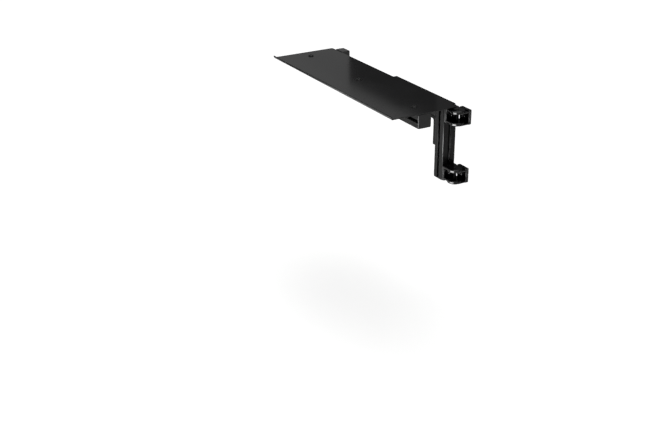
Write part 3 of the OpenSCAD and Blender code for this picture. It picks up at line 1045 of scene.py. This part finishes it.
@dataclass
class PivotJoints:
    """Two lapped pivot joints, one above the other, each with a fixed and a moving leaf."""

    height: float = 40.0
    stack: float = 40.0
    half_width: float = 20.0
    reach: float = 30.0
    foot: float = 4.5
    body_depth: float = 8.5
    body_inset: float = 0.6
    corner: float = 1.2
    wall_corner: float = 0.25
    wall: float = 2.4
    ear: float = 4.2
    ear_round: float = 2.5
    lap: float = 0.3
    edge: float = 0.25
    pin: HingePin = HingePin()
    pin_gap: float = 0.06
    pitch: float = 162.0
    stud: float = 9.0
    sunk: float = 0.3

    def _back(self) -> float:
        """Distance from the pin to which the body and the ears run into the foot."""
        return self.reach - self.foot + self.sunk

    def _block(self, low: float, high: float, y0: float, y1: float) -> Shell:
        """Part of the body in front of the foot.

        Args:
            low: height of its lower end.
            high: height of its upper end.
            y0: one side of it.
            y1: its other side.

        Returns:
            A block with rounded corners.
        """
        plan = rectangle(self.reach - self.body_depth, y0, self._back(), y1, self.wall_corner)
        return prism(plan, rim(low, high, self.edge, self.edge))

    def _leaf(self, placement: Placement) -> list[Shell]:
        """Shells of one leaf: the foot, the body with its pocket's walls, and the two ears.

        Args:
            placement: the pin's axis as z and the way to the foot as x.

        Returns:
            The leaf's shells in the row frame.
        """
        top, inner = self.stack / 2, self.stack / 2 - 2 * self.ear
        ear = self.ear - self.lap / 2
        half, back = self.half_width, self._back()
        side = half - self.body_inset
        pocket = side - self.wall
        plan = Outline((
            (back, half, TINY_RADIUS), (-half, half, half), (-half, -half, half), (back, -half, TINY_RADIUS),
        ), steps=24)
        bore = [circle(0, 0, self.pin.radius + self.pin_gap)]
        foot = prism(
            rectangle(-half, -self.height / 2, half, self.height / 2, self.corner, steps=6),
            rim(self.reach - self.foot, self.reach, self.edge, self.edge / 2),
            [circle(0, 0, HOLE_RADIUS)],
        ).placed(Placement((0, 0, 0), (0, 1, 0), (0, 0, 1), (1, 0, 0)))
        shells = [
            prism(plan, rim(top - ear, top, self.edge, self.ear_round, steps=7), bore),
            prism(plan, rim(-inner - ear, -inner, self.edge, self.ear_round, steps=7), bore),
            self._block(inner, top - self.edge / 4, -side, side),
            self._block(-top + self.edge / 4, -inner, -side, side),
            self._block(-inner - self.edge, inner + self.edge, pocket, side),
            self._block(-inner - self.edge, inner + self.edge, -side, -pocket),
            foot,
        ]
        return [shell.placed(placement) for shell in shells]

    def _places(self, level: int) -> tuple[Placement, Placement]:
        """Places of the two leaves of one joint.

        Args:
            level: 0 for the upper joint, 1 for the lower one.

        Returns:
            The placements of the fixed and the moving leaf.
        """
        origin = (-self.reach, 0.0, -level * self.pitch)
        fixed = Placement(origin, (1, 0, 0), (0, -1, 0), (0, 0, -1))
        moving = Placement(origin, (0, 1, 0), (-1, 0, 0), (0, 0, 1))
        return fixed, moving

    def build(self, shop: Workshop) -> None:
        """Makes the leaves, pins, bolts and slot nuts of both joints.

        Args:
            shop: the workshop that makes the pieces.
        """
        bolt, nut = CapBolt(), SlotNut()
        seat = self.reach - self.foot
        pins: list[Shell] = []
        fixed_bolts: list[Shell] = []
        moving_bolts: list[Shell] = []
        nuts: list[Shell] = []
        for level, name in enumerate(("upper", "lower")):
            for kind, place, body in zip(("fixed", "moving"), self._places(level), (Body.UPRIGHT, Body.POST)):
                shop.piece(f"{name}_{kind}_leaf_cast", self._leaf(place), LACQUERED_CASTING, body,
                           [f"{name}_{kind}_leaf"])
            z = -level * self.pitch
            pins.append(self.pin.shell(Placement((-self.reach, 0, z))))
            fixed_bolts += bolt.shells(self.foot + self.stud, along((-1, 0, 0), (-self.foot, 0, z)))
            moving_bolts += bolt.shells(self.foot + NUT_REACH, along((0, -1, 0), (-self.reach, seat, z)))
            face = (-self.reach, self.reach, z)
            nuts.append(nut.shell(Placement(face, (1, 0, 0), (0, 0, 1), (0, -1, 0))))
        # The pins take the steel finish darkened as painted shade of the joint's window
        shop.piece("pivot_pins", pins, PIN_STEEL_PAINTED_SHADE, Body.UPRIGHT, ["hinge_pins"])
        shop.bolts("leaf_bolts_fixed", fixed_bolts, Body.UPRIGHT, "fixed_leaf_bolts")
        shop.bolts("leaf_bolts_moving", moving_bolts, Body.POST, "moving_leaf_bolts")
        shop.nuts("leaf_nuts", nuts, Body.POST, "moving_leaf_nuts")


@dataclass
class Post:
    """Short upright profile between the joints and the bracket, with a cap at each end."""

    x: float = -30.0
    y: float = 50.0
    top: float = 18.0
    length: float = 200.0

    def build(self, shop: Workshop) -> None:
        """Makes the post and its caps.

        Args:
            shop: the workshop that makes the pieces.
        """
        bottom = self.top - self.length
        bar = SlottedProfile().bar(self.length, Placement((self.x, self.y, bottom)))
        shop.piece("post_profile", [bar], anodised(Grain.Z), Body.POST, ["arm_post"])
        cap = EndCap()
        shop.piece("post_cap_top", cap.shells(Placement((self.x, self.y, self.top))), MOULDED_NYLON,
                   Body.POST, ["post_top_cap"])
        below = Placement((self.x, self.y, bottom), (1, 0, 0), (0, -1, 0), (0, 0, -1))
        shop.piece("post_cap_bottom", cap.shells(below), MOULDED_NYLON, Body.POST,
                   ["post_bottom_cap"])


@dataclass
class CornerBracket:
    """Right-angled bracket on the post with the arm on its level leg."""

    x: float = -30.0
    y: float = 70.3
    z: float = -16.0
    leg: float = 80.0
    thickness: float = 9.0
    width: float = 38.0
    fillet: float = 6.0
    edge: float = 1.0
    corner: float = 0.6
    side_edge: float = 0.7
    holes: Pair = (30.0, 62.0)
    slide_gap: float = 0.3

    def build(self, shop: Workshop) -> None:
        """Makes the bracket, its bolts and the slot nuts that they pull on.

        Args:
            shop: the workshop that makes the pieces.
        """
        t, leg, edge = self.thickness, self.leg, self.edge
        section = Outline((
            (0, -leg, edge), (t, -leg, edge), (t, -t, self.fillet), (leg, -t, edge), (leg, 0, edge),
            (0, 0, self.corner),
        ), steps=6)
        half = self.width / 2
        # Local x is the row's Y and local y its Z, so local z is the row's X
        turned = Placement((self.x, self.y, self.z), (0, 1, 0), (0, 0, 1), (1, 0, 0))
        body = prism(section, rim(-half, half, self.side_edge, self.side_edge, steps=4)).placed(turned)
        shop.piece("bracket_cast", [body], SATIN_CASTING, Body.TABLE, ["corner_bracket"])
        bolt, nut = CapBolt(), SlotNut()
        post_bolts: list[Shell] = []
        arm_bolts: list[Shell] = []
        post_nuts: list[Shell] = []
        arm_nuts: list[Shell] = []
        for d in self.holes:
            head = (self.x, self.y + t, self.z - d)
            post_bolts += bolt.shells(t + self.slide_gap + NUT_REACH, along((0, 1, 0), head))
            face = (self.x, self.y - self.slide_gap, self.z - d)
            post_nuts.append(nut.shell(Placement(face, (-1, 0, 0), (0, 0, 1), (0, 1, 0))))
            arm_bolts += bolt.shells(t + NUT_REACH, along((0, 0, -1), (self.x, self.y + d, self.z - t)))
            under = (self.x, self.y + d, self.z)
            arm_nuts.append(nut.shell(Placement(under, (-1, 0, 0), (0, 1, 0), (0, 0, -1))))
        shop.bolts("bracket_bolts_post", post_bolts, Body.TABLE, "bracket_post_bolts")
        shop.bolts("bracket_bolts_arm", arm_bolts, Body.TABLE, "bracket_arm_bolts")
        shop.nuts("bracket_nuts_post", post_nuts, Body.TABLE, "bracket_post_nuts")
        shop.nuts("bracket_nuts_arm", arm_nuts, Body.TABLE, "bracket_arm_nuts")


@dataclass
class ArmAndBeam:
    """The two level profiles under the tray, their caps and the cross plates between them."""

    arm_x: float = -30.0
    arm_start: float = 70.3
    arm_length: float = 238.0
    beam_x: float = -126.2
    beam_start: float = 10.0
    beam_length: float = 645.0
    z: float = 4.0
    half: float = 20.0
    plate_places: Pair = (195.3, 270.3)
    plate_width: float = 40.0
    plate_thickness: float = 5.0
    plate_corner: float = 4.0
    plate_edge: float = 0.5

    def _profile(self, shop: Workshop, name: str, x: float, start: float, length: float,
                 node: str) -> None:
        """Makes one level profile that runs along +Y."""
        place = Placement((x, start, self.z), (1, 0, 0), (0, 0, -1), (0, 1, 0))
        shop.piece(name, [SlottedProfile().bar(length, place)], anodised(Grain.Y), Body.TABLE,
                   [node])

    def _cap(self, shop: Workshop, name: str, x: float, y: float, outward: int, node: str) -> None:
        """Makes one end cap that faces along +Y or -Y."""
        place = Placement((x, y, self.z), (1, 0, 0), (0, 0, -outward), (0, outward, 0))
        shop.piece(name, EndCap().shells(place), MOULDED_NYLON, Body.TABLE, [node])

    def build(self, shop: Workshop) -> None:
        """Makes the profiles, caps, cross plates and their fasteners.

        Args:
            shop: the workshop that makes the pieces.
        """
        arm_end = self.arm_start + self.arm_length
        beam_end = self.beam_start + self.beam_length
        self._profile(shop, "arm_profile", self.arm_x, self.arm_start, self.arm_length, "table_arm")
        self._profile(shop, "beam_profile", self.beam_x, self.beam_start, self.beam_length, "tray_beam")
        self._cap(shop, "arm_cap", self.arm_x, arm_end, 1, "arm_end_cap")
        self._cap(shop, "beam_cap_near", self.beam_x, self.beam_start, -1, "beam_near_cap")
        self._cap(shop, "beam_cap_far", self.beam_x, beam_end, 1, "beam_far_cap")
        under = self.z - self.half
        seat = under - self.plate_thickness
        left, right = self.beam_x - self.half, self.arm_x + self.half
        half = self.plate_width / 2
        for label, y in zip(("near", "far"), self.plate_places):
            outline = rectangle(left, y - half, right, y + half, self.plate_corner, steps=6)
            holes = [circle(x, y, HOLE_RADIUS) for x in (self.beam_x, self.arm_x)]
            plate = prism(outline, rim(seat, under, self.plate_edge, self.plate_edge), holes)
            shop.piece(f"plate_{label}", [plate], POWDER_COAT, Body.TABLE,
                       [f"{label}_cross_plate"])
        bolt, nut = CapBolt(), SlotNut()
        for label, x in (("arm", self.arm_x), ("beam", self.beam_x)):
            bolts: list[Shell] = []
            nuts: list[Shell] = []
            for y in self.plate_places:
                bolts += bolt.shells(self.plate_thickness + NUT_REACH, along((0, 0, -1), (x, y, seat)))
                nuts.append(nut.shell(Placement((x, y, under), (-1, 0, 0), (0, 1, 0), (0, 0, -1))))
            shop.bolts(f"plate_bolts_{label}", bolts, Body.TABLE, f"cross_{label}_bolts")
            shop.nuts(f"plate_nuts_{label}", nuts, Body.TABLE, f"cross_{label}_nuts")


@dataclass
class Tray:
    """Folded sheet tray with a lip along its front, a tab over the arm and three screws."""

    front: float = -229.0
    back: float = -27.4
    near: float = 5.0
    far: float = 660.0
    under: float = 24.0
    sheet: float = 2.5
    lip: float = 8.0
    bend: float = 2.0
    corner: float = 4.0
    tab_out: float = 11.7
    tab_near: float = 28.6
    tab_far: float = 312.3
    tab_inner: float = 1.5
    tab_outer: float = 2.0
    edge: float = 0.5
    guard: float = 0.8
    screw_x: float = -126.2
    screws: Vec3 = (58.0, 337.0, 616.0)

    def _flat(self) -> Shell:
        """The flat with its tab.

        Its front edge stays sharp, for the bend to start there. Two points a guard's width
        behind it keep the rounding of the side edges apart from it.

        Returns:
            The flat with the screws' holes.
        """
        start = self.front + self.bend + self.sheet
        behind, tab = start + self.guard, self.back + self.tab_out
        corners = (
            (start, self.far, TINY_RADIUS), (start, self.near, TINY_RADIUS),
            (behind, self.near, TINY_RADIUS), (self.back, self.near, self.corner),
            (self.back, self.tab_near, self.tab_inner), (tab, self.tab_near, self.tab_outer),
            (tab, self.tab_far, self.tab_outer), (self.back, self.tab_far, self.tab_inner),
            (self.back, self.far, self.corner), (behind, self.far, TINY_RADIUS),
        )
        # The two points on the front edge take none of the rounding
        weights = np.array([0, 0, 1, 1, 1, 1, 1, 1, 1, 1], float)
        holes = [circle(self.screw_x, y, HOLE_RADIUS) for y in self.screws]
        top = self.under + self.sheet
        levels = rim(self.under, top, self.edge, self.edge)
        return prism(Outline(corners, steps=6), levels, holes, weights)

    def _fold(self) -> Shell:
        """The bend and lip as one section run along the tray.

        The outer arc has the bend's radius plus the sheet, the inner arc the bend's radius,
        and a half circle of the sheet's thickness closes the lip's upper edge.

        Returns:
            The fold, closed at both ends.
        """
        outer, inner = self.bend + self.sheet, self.bend
        cx, cz = self.front + outer, self.under + outer
        turn = np.linspace(-np.pi / 2, -np.pi, 13)
        under = np.stack([cx + outer * np.cos(turn), cz + outer * np.sin(turn)], 1)
        radius, top = self.sheet / 2, self.under + self.lip - self.sheet / 2
        crest = np.linspace(np.pi, 0, 9)
        edge = np.stack([self.front + radius + radius * np.cos(crest), top + radius * np.sin(crest)], 1)
        back = turn[::-1]
        above = np.stack([cx + inner * np.cos(back), cz + inner * np.sin(back)], 1)
        section = np.concatenate([under, edge, above])
        rows = np.stack([
            np.column_stack([section[:, 0], np.full(len(section), y), section[:, 1]])
            for y in (self.near, self.far)
        ])
        count = len(section)
        faces = grid_faces(2, count, False).tolist()
        ends = [list(range(count)), list(range(2 * count - 1, count - 1, -1))]
        return Shell(rows.reshape(-1, 3), faces + ends, [True] * len(faces) + [False, False])

    def build(self, shop: Workshop) -> None:
        """Makes the tray, its screws and their slot nuts.

        Args:
            shop: the workshop that makes the pieces.
        """
        shop.piece("tray_sheet", [self._flat(), self._fold()], POWDER_COAT, Body.TABLE,
                   ["tray_plate"], weld=0.02)
        screw, nut = FlangedScrew(), SlotNut()
        heads: list[Shell] = []
        nuts: list[Shell] = []
        for y in self.screws:
            seat = Placement((self.screw_x, y, self.under + self.sheet))
            heads += screw.shells(self.sheet + NUT_REACH, seat)
            nuts.append(nut.shell(Placement((self.screw_x, y, self.under))))
        shop.piece("tray_screw_heads", heads, BLACK_ZINC, Body.TABLE, ["tray_screws"])
        shop.nuts("tray_slot_nuts", nuts, Body.TABLE, "tray_nuts")


@dataclass
class FarRest:
    """Rest on the far upright: a block behind the tray and a bent, padded shelf under it."""

    y: float = 620.0
    width: float = 38.0
    front: float = -27.1
    bottom: float = -12.0
    top: float = 28.0
    shelf: float = 20.0
    shelf_top: float = 21.7
    sheet: float = 4.0
    bend: float = 2.0
    sheet_edge: float = 0.4
    block_corner: float = 1.2
    block_edge: float = 1.0
    pad: float = 2.0
    pad_inset: float = 1.0
    pad_corner: float = 2.0
    pad_edges: Pair = (0.1, 0.5)
    bolt_z: float = 2.85
    stud: float = 9.0

    def build(self, shop: Workshop) -> None:
        """Makes the block, the shelf, its pad and the bolt through them.

        Args:
            shop: the workshop that makes the pieces.
        """
        half, edge = self.width / 2, self.sheet_edge
        tip = self.front - self.shelf
        # Local x is the row's X and local y its Z, so local z is against the row's Y
        turned = Placement((0, self.y, 0), (1, 0, 0), (0, 0, 1), (0, -1, 0))
        block = prism(rectangle(self.front, self.bottom, 0, self.top, self.block_corner),
                      rim(-half, half, self.block_edge, self.block_edge, steps=4))
        shop.piece("rest_block", [block.placed(turned)], LACQUERED_CASTING, Body.UPRIGHT,
                   ["far_rest"])
        seat, under = self.front - self.sheet, self.shelf_top - self.sheet
        angle = Outline((
            (tip, under, edge), (seat, under, self.bend), (seat, self.bottom, edge),
            (self.front, self.bottom, edge), (self.front, self.shelf_top, self.bend + self.sheet),
            (tip, self.shelf_top, edge),
        ), steps=8)
        shelf = prism(angle, rim(-half, half, edge, edge))
        shop.piece("rest_shelf_sheet", [shelf.placed(turned)], POWDER_COAT, Body.UPRIGHT,
                   ["rest_shelf"])
        inset, pad_half = self.pad_inset, half - self.pad_inset
        plan = rectangle(tip + inset, self.y - pad_half, self.front - inset, self.y + pad_half,
                         self.pad_corner, steps=6)
        pad = prism(plan, rim(self.shelf_top, self.shelf_top + self.pad, *self.pad_edges))
        shop.piece("rest_pad_rubber", [pad], PAD_RUBBER, Body.UPRIGHT, ["rest_pad"])
        bolt = CapBolt().shells(self.stud - seat, along((-1, 0, 0), (seat, self.y, self.bolt_z)))
        shop.bolts("rest_bolt_steel", bolt, Body.UPRIGHT, "rest_bolt")


# Studio


@dataclass(frozen=True)
class Lamp:
    """A rectangular soft lamp: its place, aim and size in metres and its power in watts."""

    name: str
    place: Vec3
    aim: Vec3
    size: Pair
    power: float
    shine_only: bool = False


@dataclass(frozen=True)
class Studio:
    """Camera, pale floor, soft lamps and world."""

    camera_place: Vec3 = (-1.592585, -2.115572, 0.906241)
    camera_right: Vec3 = (0.87368822, -0.48639448, -0.00944995)
    camera_down: Vec3 = (-0.20860115, -0.35701083, -0.9105102)
    camera_ahead: Vec3 = (0.43949341, 0.79747331, -0.41337861)
    lens: float = 59.05
    sensor: float = 36.0
    sight: float = 200.0
    floor_z: float = -0.646
    floor_size: float = 60.0
    floor_rough: float = 0.8
    floor_cells: float = 3.0
    floor_dark: Vec3 = (0.86, 0.86, 0.855)
    floor_light: Vec3 = (0.89, 0.89, 0.885)
    near_lift: float = 0.5
    far_lift: float = 0.97
    lift_reach: float = 4.2
    mirrored_share: float = 0.4
    mirrored_room: float = 0.005
    room_light: float = 0.04
    lamps: tuple[Lamp, ...] = (
        Lamp("ceiling", (0.1, 0.1, 2.6), (-0.1, 0.3, 0.0), (2.4, 2.4), 60.0),
        Lamp("window", (-2.6, 1.9, 1.6), (-0.1, 0.3, 0.0), (2.4, 1.8), 26.0),
        Lamp("low strip", (-0.957, -0.186, -0.44), (-0.03, 0.02, -0.44), (1.0, 0.34), 24.0,
             shine_only=True),
        Lamp("side panel", (0.1, 0.9, 0.445), (-0.9, 0.9, 0.445), (2.0, 0.5), 0.76, shine_only=True),
        Lamp("end panel", (0.1, 1.375, 0.095), (-0.9, 1.375, 0.095), (1.2, 0.2), 0.155, shine_only=True),
        Lamp("near panel", (0.1, -0.21, 0.095), (-0.9, -0.21, 0.095), (0.98, 0.2), 0.02, shine_only=True),
    )

    def camera(self) -> None:
        """Stands the camera where the photograph was taken from."""
        data = bpy.data.cameras.new("camera")
        data.lens, data.sensor_width = self.lens, self.sensor
        data.clip_end = self.sight
        item = bpy.data.objects.new("camera", data)
        up, back = -Vector(self.camera_down), -Vector(self.camera_ahead)
        turn = Matrix((self.camera_right, up, back)).transposed()
        item.matrix_world = Matrix.Translation(self.camera_place) @ turn.to_4x4()
        bpy.context.scene.collection.objects.link(item)
        bpy.context.scene.camera = item

    def _seen(self, tree: Any, mirrored_share: float) -> Any:
        """Share of a pale background's own light that a ray meets.

        Args:
            tree: the node tree that it is added to.
            mirrored_share: the share that reflections and glass see.

        Returns:
            A socket with 1 for the camera, the given share for reflections and glass, and 0
            for all else.
        """
        path = add_node(tree, "ShaderNodeLightPath")
        mirrored = add_node(tree, "ShaderNodeMath", operation="MAXIMUM")
        link(tree, path.outputs["Is Glossy Ray"], mirrored.inputs[0])
        link(tree, path.outputs["Is Transmission Ray"], mirrored.inputs[1])
        seen = add_node(tree, "ShaderNodeMath", operation="MULTIPLY_ADD", use_clamp=True)
        seen.inputs[1].default_value = mirrored_share
        link(tree, mirrored.outputs[0], seen.inputs[0])
        link(tree, path.outputs["Is Camera Ray"], seen.inputs[2])
        return seen.outputs[0]

    def floor(self) -> None:
        """Lays a pale floor under the table."""
        half = self.floor_size / 2
        mesh = bpy.data.meshes.new("floor")
        mesh.from_pydata([(-half, -half, self.floor_z), (half, -half, self.floor_z),
                          (half, half, self.floor_z), (-half, half, self.floor_z)], [], [(0, 1, 2, 3)])
        material = bpy.data.materials.new("pale floor")
        material.use_nodes = True
        tree = material.node_tree
        shader = tree.nodes["Principled BSDF"]
        shader.inputs["Roughness"].default_value = self.floor_rough
        coordinates = add_node(tree, "ShaderNodeTexCoord")
        noise = mapped_noise(tree, (self.floor_cells,) * 3, 3.0, 0.5, coordinates)
        tint = add_node(tree, "ShaderNodeMix", data_type="RGBA")
        tint.inputs[MIX_FIRST].default_value = (*self.floor_dark, 1.0)
        tint.inputs[MIX_SECOND].default_value = (*self.floor_light, 1.0)
        link(tree, noise.outputs["Fac"], tint.inputs[MIX_FACTOR])
        link(tree, tint.outputs[MIX_RESULT], shader.inputs["Base Color"])
        # The camera and reflections see the floor nearly white, and it keeps its shadow
        shrink = add_node(tree, "ShaderNodeMapping")
        shrink.inputs["Scale"].default_value = [1 / self.lift_reach] * 3
        link(tree, coordinates.outputs["Object"], shrink.inputs["Vector"])
        nearness = add_node(tree, "ShaderNodeTexGradient", gradient_type="SPHERICAL")
        link(tree, shrink.outputs["Vector"], nearness.inputs["Vector"])
        level = map_range(tree, nearness.outputs["Fac"], 0.0, 1.0, self.far_lift, self.near_lift)
        lift = add_node(tree, "ShaderNodeMath", operation="MULTIPLY")
        link(tree, level, lift.inputs[1])
        link(tree, self._seen(tree, self.mirrored_share), lift.inputs[0])
        shader.inputs["Emission Color"].default_value = (1.0, 1.0, 1.0, 1.0)
        link(tree, lift.outputs[0], shader.inputs["Emission Strength"])
        mesh.materials.append(material)
        item = bpy.data.objects.new("floor", mesh)
        bpy.context.scene.collection.objects.link(item)

    def lamp(self, lamp: Lamp) -> None:
        """Hangs one rectangular soft lamp.

        Args:
            lamp: the lamp; one that is for shine only lights no surface by itself.
        """
        data = bpy.data.lights.new(lamp.name, "AREA")
        data.shape, data.energy = "RECTANGLE", lamp.power
        data.size, data.size_y = lamp.size
        item = bpy.data.objects.new(lamp.name, data)
        item.location = lamp.place
        item.visible_camera = False
        item.visible_diffuse = not lamp.shine_only
        item.rotation_mode = "QUATERNION"
        item.rotation_quaternion = (Vector(lamp.aim) - Vector(lamp.place)).to_track_quat("-Z", "Y")
        bpy.context.scene.collection.objects.link(item)

    def world(self) -> None:
        """Fills the room with even light."""
        world = bpy.data.worlds.new("room")
        world.use_nodes = True
        tree = world.node_tree
        background = tree.nodes["Background"]
        background.inputs["Color"].default_value = (1.0, 1.0, 1.0, 1.0)
        strength = map_range(tree, self._seen(tree, self.mirrored_room), 0.0, 1.0, self.room_light, 1.0)
        link(tree, strength, background.inputs["Strength"])
        bpy.context.scene.world = world

    def build(self) -> None:
        """Sets up the whole studio."""
        bpy.context.scene.view_settings.view_transform = "Standard"
        self.camera()
        self.floor()
        self.world()
        for lamp in self.lamps:
            self.lamp(lamp)


def main() -> None:
    """Builds the table in order and reports each piece."""
    logging.basicConfig(level=logging.INFO, format="%(name)s: %(message)s")
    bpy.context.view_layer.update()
    shop = Workshop()
    for assembly in (PivotJoints(), Post(), CornerBracket(), ArmAndBeam(), Tray(), FarRest()):
        assembly.build(shop)
        LOG.info("%s done", type(assembly).__name__)
    Studio().build()
    LOG.info("%d pieces", len(shop.made))


if __name__ == "__main__":
    main()
